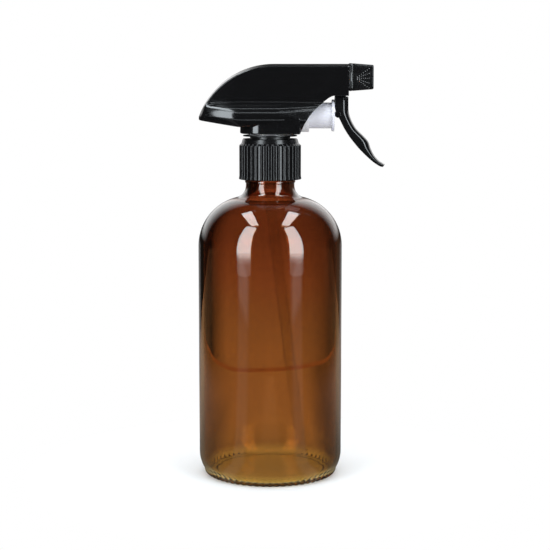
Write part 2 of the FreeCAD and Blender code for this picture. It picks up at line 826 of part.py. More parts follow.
def check(node):
    """Stop if a node has no sound solid."""
    shape = node.Shape
    if shape.isNull() or not shape.isValid() or len(shape.Solids) != 1:
        raise RuntimeError("%s: %d solids, valid %s" % (node.Label, len(shape.Solids), shape.isValid()))


def main():
    nodes = [make() for make in NODES]
    document.recompute()
    failed = [item.Label for item in document.Objects if {"Invalid", "Error"} & set(item.State)]
    if failed:
        raise RuntimeError("objects failed: %s" % failed)
    for node in nodes:
        check(node)
    os.makedirs("parts", exist_ok=True)
    for node in nodes:
        node.Shape.exportStep("parts/%s.step" % node.Label)
        box = node.Shape.optimalBoundingBox()
        print("%-14s %9.1f mm3  x %6.2f..%6.2f  y %6.2f..%6.2f  z %6.2f..%6.2f" % (
            node.Label, node.Shape.Volume, box.XMin, box.XMax, box.YMin, box.YMax, box.ZMin, box.ZMax))


main()
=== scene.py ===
import math

import bmesh
import bpy
import numpy as np
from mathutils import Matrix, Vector


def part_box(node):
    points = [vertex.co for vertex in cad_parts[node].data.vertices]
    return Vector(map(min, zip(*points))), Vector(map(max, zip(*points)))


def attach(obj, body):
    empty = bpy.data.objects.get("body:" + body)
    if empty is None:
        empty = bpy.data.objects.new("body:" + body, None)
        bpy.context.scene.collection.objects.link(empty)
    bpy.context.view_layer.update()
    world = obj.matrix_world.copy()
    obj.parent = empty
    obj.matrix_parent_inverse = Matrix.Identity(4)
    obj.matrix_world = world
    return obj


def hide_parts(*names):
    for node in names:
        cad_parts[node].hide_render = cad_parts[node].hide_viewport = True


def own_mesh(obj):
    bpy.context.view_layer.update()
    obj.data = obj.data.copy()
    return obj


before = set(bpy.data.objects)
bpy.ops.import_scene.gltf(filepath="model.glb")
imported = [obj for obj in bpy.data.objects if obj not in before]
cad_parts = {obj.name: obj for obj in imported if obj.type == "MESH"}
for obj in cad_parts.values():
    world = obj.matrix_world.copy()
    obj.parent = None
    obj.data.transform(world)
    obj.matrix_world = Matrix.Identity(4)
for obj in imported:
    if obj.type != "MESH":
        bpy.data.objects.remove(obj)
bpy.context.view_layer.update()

# Pieces are worked out in millimetres in the CAD frame and stored in metres.
MM = 0.001


def extent(node):
    """Lowest and highest corner of a CAD node, in millimetres."""
    low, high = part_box(node)
    return np.array(low) / MM, np.array(high) / MM


def smoothstep(share):
    share = np.clip(share, 0, 1)
    return share * share * (3 - 2 * share)


# ---- shells: (points, faces) in millimetres ----


def rounded(corners, chord_degrees=6):
    """Closed outline through corners (across, up, fillet radius), with the fillets drawn as short chords."""
    points = []
    for index, (across, up, radius) in enumerate(corners):
        here = np.array((across, up), float)
        before = np.array(corners[index - 1][:2], float) - here
        after = np.array(corners[(index + 1) % len(corners)][:2], float) - here
        if radius == 0:
            points.append(here)
            continue
        before /= np.linalg.norm(before)
        after /= np.linalg.norm(after)
        half = math.acos(np.clip(before @ after, -1, 1)) / 2
        bisector = (before + after) / np.linalg.norm(before + after)
        centre = here + bisector * radius / math.sin(half)
        first = here + before * radius / math.tan(half) - centre
        last = here + after * radius / math.tan(half) - centre
        turn = math.pi - 2 * half
        steps = max(2, math.ceil(math.degrees(turn) / chord_degrees))
        for share in np.linspace(0, 1, steps + 1):
            mixed = math.sin((1 - share) * turn) * first + math.sin(share * turn) * last
            points.append(centre + mixed / math.sin(turn))
    return np.array(points)


def refine(outline, low, high, step):
    """Add points to the long edges of an outline where they run between two heights."""
    points = []
    for here, after in zip(outline, np.roll(outline, -1, axis=0)):
        points.append(here)
        inside = low <= (here[1] + after[1]) / 2 <= high
        pieces = math.ceil(np.linalg.norm(after - here) / step) if inside else 1
        points += [here + (after - here) * share for share in np.linspace(0, 1, pieces + 1)[1:-1]]
    return np.array(points)


def grid_faces(rows, columns, closed_rows, closed_columns):
    faces = []
    for row in range(rows if closed_rows else rows - 1):
        for column in range(columns if closed_columns else columns - 1):
            next_row, next_column = (row + 1) % rows, (column + 1) % columns
            faces.append((row * columns + column, row * columns + next_column,
                          next_row * columns + next_column, next_row * columns + column))
    return faces


def lathe(outline, segments=96, shape=None):
    """Turn an outline (radius, height) about Z. shape(angle, radius, height) may move the points."""
    angles = np.linspace(0, 2 * math.pi, segments, endpoint=False)
    radius, angle = np.meshgrid(outline[:, 0], angles, indexing="ij")
    height = np.repeat(outline[:, 1:], segments, axis=1)
    if shape:
        radius, height = shape(angle, radius, height)
    points = np.stack([radius * np.cos(angle), radius * np.sin(angle), height], -1).reshape(-1, 3)
    touches_axis = outline[0, 0] == 0 and outline[-1, 0] == 0
    return points, grid_faces(len(outline), segments, not touches_axis, True)


def skin(rings, closed=False):
    """Join rings of equal length. closed joins the last ring to the first; otherwise both ends are filled."""
    rings = np.asarray(rings, float)
    rows, columns, _ = rings.shape
    faces = grid_faces(rows, columns, closed, True)
    if not closed:
        faces.append(tuple(range(columns))[::-1])
        faces.append(tuple(range((rows - 1) * columns, rows * columns)))
    return rings.reshape(-1, 3), faces


def slab(outline, low, high, edge=0.25):
    """An outline in the XZ plane made into a plate between two Y values, with its edges eased."""
    outline = np.asarray(outline, float)
    tangent = np.roll(outline, -1, axis=0) - np.roll(outline, 1, axis=0)
    normal = np.stack([tangent[:, 1], -tangent[:, 0]], -1)
    normal /= np.linalg.norm(normal, axis=1)[:, None]
    area = np.sum(outline[:, 0] * np.roll(outline[:, 1], -1) - np.roll(outline[:, 0], -1) * outline[:, 1])
    inward = -normal * math.copysign(edge, area)
    rings = []
    for level, inset in ((low, 1), (low + edge, 0), (high - edge, 0), (high, 1)):
        flat = outline + inward * inset
        rings.append(np.stack([flat[:, 0], np.full(len(flat), level), flat[:, 1]], -1))
    return skin(rings)


def along_x(shell, height):
    """Stand a shell that was turned about Z on the X direction, at a height."""
    points, faces = shell
    return np.stack([points[:, 2], points[:, 1], height - points[:, 0]], -1), faces


def join(*shells):
    points, faces, offset = [], [], 0
    for shell_points, shell_faces in shells:
        points.append(shell_points)
        faces += [tuple(index + offset for index in face) for face in shell_faces]
        offset += len(shell_points)
    return np.concatenate(points), faces


def sweep(path, radii, segments=24, up=(0, 1, 0)):
    """A round bar or tube along a path; radii is (outer,) or (outer, inner)."""
    path = np.asarray(path, float)
    tangent = np.gradient(path, axis=0)
    tangent /= np.linalg.norm(tangent, axis=1)[:, None]
    side = np.cross(tangent, np.broadcast_to(up, tangent.shape))
    side /= np.linalg.norm(side, axis=1)[:, None]
    over = np.cross(side, tangent)
    angles = np.linspace(0, 2 * math.pi, segments, endpoint=False)
    circle = np.cos(angles)[None, :, None] * side[:, None] + np.sin(angles)[None, :, None] * over[:, None]
    outer = path[:, None] + radii[0] * circle
    if len(radii) == 1:
        return skin(outer)
    inner = path[:, None] + radii[1] * circle
    return skin(np.concatenate([outer, inner[::-1]]), closed=True)


def add_piece(name, body, stands_for, shell, material, bevel=0.0):
    """Make a smooth-shaded piece from a shell; it stands for a CAD node and rides on its body."""
    points, faces = shell
    mesh = bpy.data.meshes.new(name)
    mesh.from_pydata((points * MM).tolist(), [], faces)
    work = bmesh.new()
    work.from_mesh(mesh)
    bmesh.ops.remove_doubles(work, verts=work.verts, dist=1e-7)
    bmesh.ops.recalc_face_normals(work, faces=work.faces)
    work.to_mesh(mesh)
    work.free()
    mesh.polygons.foreach_set("use_smooth", [True] * len(mesh.polygons))
    mesh.materials.append(material)
    piece = bpy.data.objects.new(name, mesh)
    bpy.context.scene.collection.objects.link(piece)
    if bevel:
        ease = piece.modifiers.new("ease", "BEVEL")
        ease.width = bevel * MM
        ease.segments = 2
        ease.limit_method = "ANGLE"
        ease.angle_limit = math.radians(50)
    shade = piece.modifiers.new("shade", "WEIGHTED_NORMAL")
    shade.keep_sharp = True
    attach(piece, body)
    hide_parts(stands_for)
    return piece


# ---- materials ----


class Nodes:
    """A small builder for one node tree."""

    def __init__(self, tree):
        self.tree = tree
        self.tree.nodes.clear()

    def add(self, kind, **settings):
        node = self.tree.nodes.new(kind)
        for name, setting in settings.items():
            setattr(node, name, setting)
        return node

    def put(self, socket, source):
        """Link an input to another node's socket, or store a value in it."""
        if isinstance(source, bpy.types.NodeSocket):
            self.tree.links.new(source, socket)
        else:
            socket.default_value = source

    def feed(self, node, **inputs):
        """Put inputs by name, with underscores for spaces."""
        for name, source in inputs.items():
            self.put(node.inputs[name.replace("_", " ")], source)
        return node

    def place(self):
        """Object coordinates, in metres."""
        return self.add("ShaderNodeTexCoord").outputs["Object"]

    def geometry(self, name):
        return self.add("ShaderNodeNewGeometry").outputs[name]

    def parts(self, vector):
        """The X, Y and Z of a vector."""
        return self.feed(self.add("ShaderNodeSeparateXYZ"), Vector=vector).outputs

    def glow(self, **inputs):
        return self.feed(self.add("ShaderNodeEmission"), **inputs).outputs[0]

    def noise(self, scale, detail=3.0, stretch=(1, 1, 1)):
        """Noise with scale features per metre, stretched along the axes."""
        mapping = self.feed(self.add("ShaderNodeMapping"), Vector=self.place(), Scale=stretch)
        texture = self.add("ShaderNodeTexNoise")
        self.feed(texture, Vector=mapping.outputs["Vector"], Scale=scale, Detail=detail)
        return texture.outputs["Fac"]

    def between(self, share, low, high, start=0.3, end=0.7):
        """Map a share that runs from start to end onto low to high."""
        node = self.add("ShaderNodeMapRange", clamp=True)
        self.feed(node, Value=share, From_Min=start, From_Max=end, To_Min=low, To_Max=high)
        return node.outputs["Result"]

    def mix(self, share, first, second):
        """Mix two colours; 6, 7 and 2 are the places of the node's colour sockets."""
        node = self.add("ShaderNodeMix", data_type="RGBA")
        for place, source in ((0, share), (6, first), (7, second)):
            self.put(node.inputs[place], source)
        return node.outputs[2]

    def math(self, operation, *sources):
        node = self.add("ShaderNodeMath", operation=operation)
        for socket, source in zip(node.inputs, sources):
            self.put(socket, source)
        return node.outputs[0]

    def times(self, product, *others):
        for other in others:
            product = self.math("MULTIPLY", product, other)
        return product

    def ramp(self, levels, share, interpolation="LINEAR"):
        """A colour that follows a share through (place, colour or grey level) pairs."""
        node = self.add("ShaderNodeValToRGB")
        node.color_ramp.interpolation = interpolation
        while len(node.color_ramp.elements) < len(levels):
            node.color_ramp.elements.new(0.5)
        for element, (place, colour) in zip(node.color_ramp.elements, levels):
            element.position = place
            element.color = colour if isinstance(colour, tuple) else grey(colour)
        self.feed(node, Fac=share)
        return node.outputs["Color"]

    def mix_shaders(self, share, first, second):
        node = self.add("ShaderNodeMixShader")
        for socket, source in zip(node.inputs, (share, first, second)):
            self.put(socket, source)
        return node.outputs[0]

    def by_ray(self, base, cases):
        """Swap a shader for some kinds of ray; cases is a list of (kind of ray, shader)."""
        path = self.add("ShaderNodeLightPath")
        for kind, shader in cases:
            base = self.mix_shaders(path.outputs["Is %s Ray" % kind], base, shader)
        return base

    def bump(self, height, strength, distance):
        node = self.add("ShaderNodeBump")
        self.feed(node, Height=height, Strength=strength, Distance=distance)
        return node.outputs["Normal"]

    def worn_edges(self):
        """0 on flats and in hollows, 1 on the sharpest outside edges."""
        return self.between(self.geometry("Pointiness"), 0, 1, 0.56, 0.72)


def new_material(name):
    material = bpy.data.materials.new(name)
    material.use_nodes = True
    nodes = Nodes(material.node_tree)
    return material, nodes


def surface(nodes, **inputs):
    """End a tree with a Principled surface; returns the output node."""
    shader = nodes.feed(nodes.add("ShaderNodeBsdfPrincipled"), **inputs)
    output = nodes.add("ShaderNodeOutputMaterial")
    nodes.feed(output, Surface=shader.outputs["BSDF"])
    return output


def grey(level, tint=(1, 1, 1)):
    return (level * tint[0], level * tint[1], level * tint[2], 1)


def moulded(name, colour, gloss, grain=0.03, flow=(1, 1, 1), edge=0.006, soft=0.0, mirror=0.5):
    """Injection-moulded plastic: flow marks, a fine skin, edges rubbed paler and dust on top faces.

    gloss is the range of its roughness, and mirror how strongly it mirrors where it is clean.
    """
    material, nodes = new_material(name)
    marks = nodes.noise(60, 3, flow)
    skin_noise = nodes.noise(700, 1)
    scuffs = nodes.noise(120, 4, (1, 1, 3))
    rubbed = nodes.times(nodes.worn_edges(), nodes.between(nodes.noise(110, 4), 0.2, 1))
    base = nodes.mix(marks, colour + (1,), tuple(part * 0.8 + 0.001 for part in colour) + (1,))
    paler = tuple(min(1, part + edge) for part in colour) + (1,)
    dust = nodes.between(nodes.parts(nodes.geometry("Normal"))["Z"], 0, 1, 0.82, 0.97)
    roughness = nodes.between(scuffs, *gloss, 0.35, 0.75)
    for cover, more in ((rubbed, 0.12), (dust, 0.25)):
        roughness = nodes.math("ADD", roughness, nodes.times(cover, more))
    relief = nodes.math("ADD", marks, nodes.times(skin_noise, 0.06))
    surface(
        nodes,
        Base_Color=nodes.mix(rubbed, base, paler),
        Roughness=roughness,
        Specular_IOR_Level=nodes.between(dust, mirror, 0.12, 0, 1),
        IOR=1.49,
        Normal=nodes.bump(relief, grain, 0.0004),
        Subsurface_Weight=soft,
        Subsurface_Radius=(0.004, 0.004, 0.005),
        Subsurface_Scale=0.3,
    )
    return material


def amber_glass():
    """Amber glass with faint ripples. Its tint is painted light and shade by height: deeper and redder
    towards the neck, lighter and golden at the base.
    """
    material, nodes = new_material("amber_glass")
    height = nodes.parts(nodes.place())["Z"]
    streaks = nodes.between(nodes.noise(16, 3, (1, 1, 0.2)), 0.94, 1.06)
    # painted light and shade: lighter and golden at the base, deeper towards the neck
    levels = (
        (0.00, (0.79, 0.62, 0.26, 1)),
        (0.018, (0.79, 0.62, 0.26, 1)),
        (0.04, (0.56, 0.345, 0.15, 1)),
        (0.20, (0.54, 0.31, 0.14, 1)),
        (0.48, (0.54, 0.30, 0.138, 1)),
        (0.62, (0.55, 0.262, 0.125, 1)),
        (0.80, (0.50, 0.22, 0.11, 1)),
        (0.86, (0.48, 0.21, 0.12, 1)),
        (1.00, (0.45, 0.20, 0.12, 1)),
    )
    share = nodes.between(nodes.times(height, streaks), 0, 1, 0, GLASS_TOP * MM)
    output = surface(
        nodes,
        Base_Color=nodes.ramp(levels, share),
        Roughness=nodes.between(nodes.noise(90, 4), 0.0, 0.03, 0.45, 0.8),
        IOR=1.52,
        Transmission_Weight=1.0,
        Normal=nodes.bump(nodes.noise(28, 2, (1, 1, 0.3)), 0.08, 0.002),
    )
    wall = nodes.add("ShaderNodeVolumeAbsorption")
    nodes.feed(wall, Color=(0.70, 0.40, 0.10, 1), Density=25.0)
    nodes.feed(output, Volume=wall.outputs["Volume"])
    return material


def natural_tube():
    """Unpigmented polyethylene tube, drawn lengthwise. A low IOR keeps it as faint as in the photo."""
    material, nodes = new_material("natural_tube")
    draw = nodes.noise(500, 3, (1, 1, 0.04))
    surface(
        nodes,
        Base_Color=nodes.mix(draw, (0.97, 0.96, 0.93, 1), (0.88, 0.87, 0.84, 1)),
        Roughness=nodes.between(draw, 0.05, 0.15),
        IOR=1.015,
        Transmission_Weight=1.0,
        Normal=nodes.bump(draw, 0.1, 0.0003),
    )
    return material


def steel(name, scale):
    """Bright stainless steel with a fine grain."""
    material, nodes = new_material(name)
    grain = nodes.noise(scale, 5)
    surface(
        nodes,
        Base_Color=nodes.mix(grain, grey(0.66), grey(0.50, (1, 0.99, 0.96))),
        Metallic=1.0,
        Roughness=nodes.between(grain, 0.14, 0.34),
        Normal=nodes.bump(grain, 0.12, 0.0002),
    )
    return material


def foam():
    """Closed-cell liner with fine pores."""
    material, nodes = new_material("foam")
    pores = nodes.add("ShaderNodeTexVoronoi")
    nodes.feed(pores, Vector=nodes.place(), Scale=2600.0)
    cells = pores.outputs["Distance"]
    surface(
        nodes,
        Base_Color=nodes.mix(cells, grey(0.70, (1, 1, 0.97)), grey(0.86, (1, 1, 0.97))),
        Roughness=nodes.between(cells, 0.7, 0.9),
        Normal=nodes.bump(cells, 0.4, 0.0003),
    )
    return material


BLACK = (0.0042, 0.0042, 0.0046)


# ---- bottle ----

BODY_RADIUS, _, GLASS_TOP = extent("bottle")[1]
GLASS_WALL = 2.45
NECK_RADIUS = 12.65
SHOULDER_RADIUS = 26.0
SHOULDER_HEIGHT = 120.5
NECK_FILLET = 6.4
HEEL_RADIUS = 17.2
FOOT_RADIUS = 33.0
HEEL_CORNER = 5.17
FLOOR_HEIGHT = 2.1
BEAD_FOOT = 153.5
FINISH_RADIUS = 12.5
KNURLS = 60
THREAD_PITCH = 4.233
THREAD_FOOT = 162.2
THREAD_TURNS = 1.5
THREAD_HEIGHT = 1.2
THREAD_HALF_WIDTH = 1.35
THREAD_FLANK = 0.8
KNURL_DEPTH = 0.62


def shoulder_corners(inset):
    """The two corners whose fillets draw the shoulder and the neck, inset from the outside, wall first."""
    arc_axis = BODY_RADIUS - SHOULDER_RADIUS
    span = SHOULDER_RADIUS + NECK_FILLET
    across = NECK_RADIUS + NECK_FILLET - arc_axis
    normal = np.array((across, math.sqrt(span * span - across * across))) / span
    touch = np.array((arc_axis, SHOULDER_HEIGHT)) + normal * (SHOULDER_RADIUS - inset)
    along = np.array((-normal[1], normal[0]))
    corners = []
    for radius in (BODY_RADIUS - inset, NECK_RADIUS - inset):
        corners.append(touch + along * (radius - touch[0]) / along[0])
    # a hair less than the full radii, so that the two fillets never cross
    wall_fillet, neck_fillet = (SHOULDER_RADIUS - inset) * 0.999, (NECK_FILLET + inset) * 0.999
    return (*corners[0], wall_fillet), (*corners[1], neck_fillet)


def ridge_turns(angle, height, foot, turns):
    """How strongly a helical ridge covers a point: 1 on its crest, 0 off it or past its faded ends."""
    cover = np.zeros_like(height)
    fade = 0.08
    for lap in range(-1, math.ceil(turns) + 1):
        along = angle / (2 * math.pi) + lap
        off = np.abs(height - foot - THREAD_PITCH * along)
        crest = smoothstep((THREAD_HALF_WIDTH - off) / THREAD_FLANK)
        ends = smoothstep(along / fade) * smoothstep((turns - along) / fade)
        cover = np.maximum(cover, crest * ends)
    return cover


def bottle_glass():
    """Glass bottle with its thread, bead, pushed-up base and knurled foot ring."""
    wall_outer, neck_outer = shoulder_corners(0)
    wall_inner, neck_inner = shoulder_corners(GLASS_WALL)
    bore = NECK_RADIUS - GLASS_WALL
    outline = rounded([
        (0, 1.1, 0),
        (28.3, 0.5, 0.8),
        (29.0, 0, 0.3),
        (FOOT_RADIUS, 0, 0.9),
        (BODY_RADIUS, HEEL_CORNER, HEEL_RADIUS),
        wall_outer,
        neck_outer,
        (NECK_RADIUS, BEAD_FOOT, 0.2),
        (13.1, BEAD_FOOT + 0.3, 0.3),
        (13.1, BEAD_FOOT + 1.4, 0.3),
        (FINISH_RADIUS, BEAD_FOOT + 1.8, 0.2),
        (FINISH_RADIUS, GLASS_TOP, 0.7),
        (bore, GLASS_TOP, 0.7),
        neck_inner,
        wall_inner,
        (BODY_RADIUS - GLASS_WALL, 6.1, 12.0),
        (31.6, FLOOR_HEIGHT, 1.5),
        (0, FLOOR_HEIGHT + 0.7, 0),
    ], 3)
    outline = refine(outline, THREAD_FOOT - 3, THREAD_FOOT + THREAD_PITCH * THREAD_TURNS + 3, 0.28)

    def shape(angle, radius, height):
        outside = radius > bore + 1.2
        thread = THREAD_HEIGHT * ridge_turns(angle, height, THREAD_FOOT, THREAD_TURNS)
        on_finish = outside & (height > BEAD_FOOT + 2.5)
        knurl_band = smoothstep((radius - 31.2) / 1.0) * smoothstep((35.2 - radius) / 1.2) * (height < 3)
        teeth = smoothstep(0.5 + 0.9 * np.cos(KNURLS * angle))
        # the teeth push the foot's edge out and down, but never under the plane it stands on
        foot = KNURL_DEPTH * knurl_band * teeth
        slope = np.clip((radius - 32.6) / 1.4, 0, 1)
        return (radius + np.where(on_finish, thread, 0) + foot * slope,
                np.maximum(height - foot * (1 - 0.4 * slope), 0))

    add_piece("bottle_glass", "bottle", "bottle", lathe(outline, 480, shape), amber_glass())


# ---- closure ----

collar_low, collar_high = extent("screw_collar")
COLLAR_RADIUS = 16.0
COLLAR_RIBS = 36
RIB_ROOT = 14.8
COLLAR_BORE = 13.95
COLLAR_HOLE = 10.6
COLLAR_SHOULDER = 173.0


def screw_collar():
    """Ribbed collar: scalloped rib ends under a smooth cone, a flared foot, and the thread inside."""
    foot, top = collar_low[2], collar_high[2]
    outline = rounded([
        (COLLAR_BORE, foot, 0.3),
        (COLLAR_RADIUS + 0.25, foot, 0.35),
        (COLLAR_RADIUS, foot + 1.8, 0.5),
        (COLLAR_RADIUS, COLLAR_SHOULDER, 0.5),
        (RIB_ROOT, COLLAR_SHOULDER + 1.1, 0.25),
        (14.2, top, 0.3),
        (COLLAR_HOLE, top, 0.25),
        (COLLAR_HOLE, top - 1.4, 0.2),
        (COLLAR_BORE, top - 1.4, 0.2),
    ])
    outline = refine(outline, foot + 0.6, top - 1.6, 0.45)

    def shape(angle, radius, height):
        phase = (angle * COLLAR_RIBS / (2 * math.pi)) % 1.0
        off_valley = np.abs(phase - 0.5) * 2
        # a narrow rounded valley at off_valley 0 and a broad, slightly domed rib elsewhere
        rib = np.sqrt(np.clip(1 - (1 - np.clip(off_valley / 0.62, 0, 1)) ** 2, 0, 1))
        rib = rib * (1 - 0.08 * (1 - off_valley) ** 2)
        ribbed = np.where(radius > RIB_ROOT, RIB_ROOT + (radius - RIB_ROOT) * rib, radius)
        inside = (radius < COLLAR_BORE + 0.05) & (height < top - 2.2) & (height > foot + 1)
        thread = ridge_turns(angle, height, THREAD_FOOT - THREAD_PITCH / 2, THREAD_TURNS)
        return np.where(inside, ribbed - thread, ribbed), height

    material = moulded("black_collar", BLACK, (0.17, 0.26), grain=0.006, flow=(1, 1, 0.2),
                       edge=0.003, mirror=0.34)
    add_piece("ribbed_collar", "collar", "screw_collar", lathe(outline, 432, shape), material)


def tube_retainer():
    """Neck piece of the pump, with the thin disc that shows above the collar."""
    low, high = extent("tube_retainer")
    disc, disc_foot = high[0], 177.65
    flange_foot, flange_top = 173.9, 174.85
    outline = rounded([
        (3.0, low[2], 0.2),
        (4.4, low[2], 0.3),
        (4.4, flange_foot, 0.3),
        (12.6, flange_foot, 0.15),
        (12.6, flange_top, 0.15),
        (10.4, flange_top, 0.2),
        (10.4, disc_foot, 0.3),
        (disc, disc_foot, 0.18),
        (disc, disc_foot + 0.55, 0.18),
        (3.3, disc_foot + 0.55, 0.2),
        (3.3, high[2], 0.2),
        (2.55, high[2], 0.2),
        (2.55, 175.0, 0),
        (1.5, 174.0, 0),
        (1.5, 172.0, 0),
        (3.0, 172.0, 0),
    ])
    material = moulded("black_inner", BLACK, (0.28, 0.42), grain=0.02)
    add_piece("neck_piece", "head", "tube_retainer", lathe(outline, 128), material)


def dip_tube():
    """Suction tube: upright in its socket, bent towards the front, cut aslant at the foot."""
    socket_top = extent("dip_tube")[1][2]
    outer, bore = 2.98, 2.2
    bend_top, bend_radius = 150.0, 60.0
    foot_x, foot_z = 17.0, 8.0
    lean = math.atan(foot_x / (bend_top - foot_z))
    upright = [(0, 0, height) for height in np.linspace(socket_top, bend_top, 8)]
    bend = [(bend_radius * (1 - math.cos(turn)), 0, bend_top - bend_radius * math.sin(turn))
            for turn in np.linspace(0, lean, 8)[1:]]
    start = np.array(bend[-1])
    leg = [start + (np.array((foot_x, 0, foot_z)) - start) * share for share in np.linspace(0, 1, 24)[1:]]
    points, faces = sweep(upright + bend + leg, (outer, bore), 40)
    # the foot is cut aslant: its front edge stands higher than its back edge
    near_foot = points[:, 2] < foot_z + 1.0
    points[near_foot, 2] += (points[near_foot, 0] - foot_x + outer) * 0.55
    add_piece("suction_tube", "head", "dip_tube", (points, faces), natural_tube())


# ---- pump ----

CYLINDER_AXIS = 188.3
BARREL_AXIS = 208.0


def piston():
    """Hollow piston with a flange, a shallow dish in its face and a step where it enters the cylinder."""
    low, high = extent("piston")
    back, face = low[0], high[0]
    flange = (high[2] - low[2]) / 2
    barrel, bore, spigot = 6.65, 5.25, 5.55
    outline = rounded([
        (bore, back, 0.1),
        (spigot, back, 0.1),
        (spigot, back + 3.3, 0),
        (barrel, back + 3.3, 0.2),
        (barrel, face - 1.29, 0.35),
        (flange, face - 1.29, 0.3),
        (flange, face, 0.3),
        (5.6, face, 0.2),
        (5.2, face - 0.35, 0.2),
        (0, face - 0.35, 0),
        (0, face - 2.4, 0),
        (bore, face - 2.4, 0.6),
    ])
    # start on the axis, at the back of the face
    first = next(index for index, point in enumerate(outline) if point[0] == 0 and point[1] < face - 1)
    outline = np.roll(outline, -first, axis=0)
    material = moulded("white_piston", (0.72, 0.72, 0.78), (0.28, 0.42), grain=0.06, flow=(0.2, 1, 1),
                       edge=0.05, soft=0.25)
    add_piece("plunger", "piston", "piston", along_x(lathe(outline, 96), CYLINDER_AXIS), material)


def return_spring():
    """Steel coil with closed ends."""
    low, high = extent("return_spring")
    wire = 0.45
    mean = (high[2] - low[2]) / 2 - wire
    start, end = low[0] + wire, high[0] - wire
    closed_turns, open_turns = 1.0, 7.0
    turns = open_turns + 2 * closed_turns
    share = np.linspace(0, 1, 540)
    turn = share * turns
    # the closed turns lie a hair apart
    lead = 2 * wire * 1.02
    rise = np.interp(turn, [0, closed_turns, closed_turns + open_turns, turns],
                     [start, start + lead, end - lead, end])
    angle = 2 * math.pi * turn
    path = np.stack([rise, mean * np.cos(angle), CYLINDER_AXIS + mean * np.sin(angle)], -1)
    coil = sweep(path, (wire,), 12, (1, 0, 0))
    spring = add_piece("coil_spring", "head", "return_spring", coil, steel("spring_steel", 900))
    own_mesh(spring)


# ---- nozzle ----

nozzle_low, nozzle_high = extent("nozzle_cap")
NOZZLE_BACK, NOZZLE_FACE = nozzle_low[0], nozzle_high[0]
HALF_BACK, HALF_FACE = nozzle_high[1], 6.2


def nozzle_half(reach):
    """Half the cap's width, which narrows to the front."""
    return HALF_BACK + (HALF_FACE - HALF_BACK) * (reach - NOZZLE_BACK) / (NOZZLE_FACE - NOZZLE_BACK)


def square_ring(half, corner, reach):
    """Points of a round-cornered square about the barrel's axis, evenly spread by angle."""
    flat = half - corner
    ring = []
    for angle in np.linspace(0, 2 * math.pi, 96, endpoint=False):
        ray = np.array((math.cos(angle), math.sin(angle)))
        side = np.abs(ray)
        reach_flat = half / side.max()
        if (side * reach_flat).min() > flat:
            # the ray meets the corner's arc, centred at (flat, flat)
            ahead = side.sum() * flat
            reach_flat = ahead + math.sqrt(max(ahead * ahead - 2 * flat * flat + corner * corner, 0))
        ring.append((reach, ray[0] * reach_flat, BARREL_AXIS + ray[1] * reach_flat))
    return ring


def circle_ring(radius, reach):
    return square_ring(radius, radius * 0.9999, reach)


def fan_dots(side):
    """Raised dots on one side of the nozzle: five rays that spread to the front from one point."""
    apex, spread = np.array((NOZZLE_BACK + 3.0, BARREL_AXIS - 0.6)), 2.45
    per_ray = 7
    dot = rounded([(0, -0.1, 0), (0.24, -0.1, 0), (0.2, 0.12, 0.06), (0, 0.12, 0)], 30)
    points, faces = lathe(dot, 10)
    shells = []
    for ray in range(-2, 3):
        end = np.array((NOZZLE_FACE - 2.4, apex[1] + ray * spread))
        for step in range(1, per_ray + 1):
            reach, height = apex + (end - apex) * step / per_ray
            outward = side * (nozzle_half(reach) + points[:, 2])
            placed = np.stack([reach + points[:, 0], outward, height + points[:, 1]], -1)
            shells.append((placed, faces))
    return shells


def nozzle_cap():
    """Square cap with round corners, a dished front with the orifice, a sleeve inside and a dotted fan."""
    back, face = NOZZLE_BACK, NOZZLE_FACE
    inside = face - 1.8
    chamfer = 0.35

    def square(reach, inset=0.0, corner=1.3):
        return square_ring(nozzle_half(reach) - inset, corner, reach)

    rings = [
        square(back, chamfer), square(back + 0.12, 0.1), square(back + chamfer),
        square(back + 1.2), square(back + 1.3, 0.12), square(back + 1.6, 0.12), square(back + 1.7),
        square(back + 4), square(back + 8), square(face - 0.5),
        square(face - 0.3, 0.04), square(face - 0.1, 0.18), square(face, 0.45, 1.2),
        circle_ring(4.2, face), circle_ring(3.9, face - 0.1), circle_ring(3.0, face - 0.75),
        circle_ring(1.1, face - 0.8), circle_ring(0.5, face - 1.0), circle_ring(0.45, inside),
        circle_ring(3.55, inside), circle_ring(3.55, back + 1.5), circle_ring(4.4, back + 1.5),
        circle_ring(4.5, inside - 0.4), circle_ring(5.4, inside - 0.2), circle_ring(5.4, back),
    ]
    material = moulded("black_nozzle", BLACK, (0.14, 0.26), grain=0.02)
    add_piece("square_nozzle", "nozzle", "nozzle_cap", skin(rings, closed=True), material)
    # the dots are a paler grey than the cap: a painted highlight on the raised dots
    rubbed = moulded("black_nozzle_mark", (0.16, 0.16, 0.165), (0.3, 0.45), grain=0.02)
    marks = join(*fan_dots(-1), *fan_dots(1))
    add_piece("spray_mark", "nozzle", "nozzle_cap", marks, rubbed)


# ---- trigger ----


def curve(points, count):
    """A smooth curve through points, with count samples (Catmull-Rom)."""
    points = np.asarray(points, float)
    padded = np.concatenate([[2 * points[0] - points[1]], points, [2 * points[-1] - points[-2]]])
    samples = []
    for place in np.linspace(0, len(points) - 1, count):
        index = min(int(place), len(points) - 2)
        t = place - index
        a, b, c, d = padded[index:index + 4]
        samples.append(0.5 * (2 * b + (c - a) * t + (2 * a - 5 * b + 4 * c - d) * t ** 2
                              + (3 * b - a - 3 * c + d) * t ** 3))
    return np.array(samples)


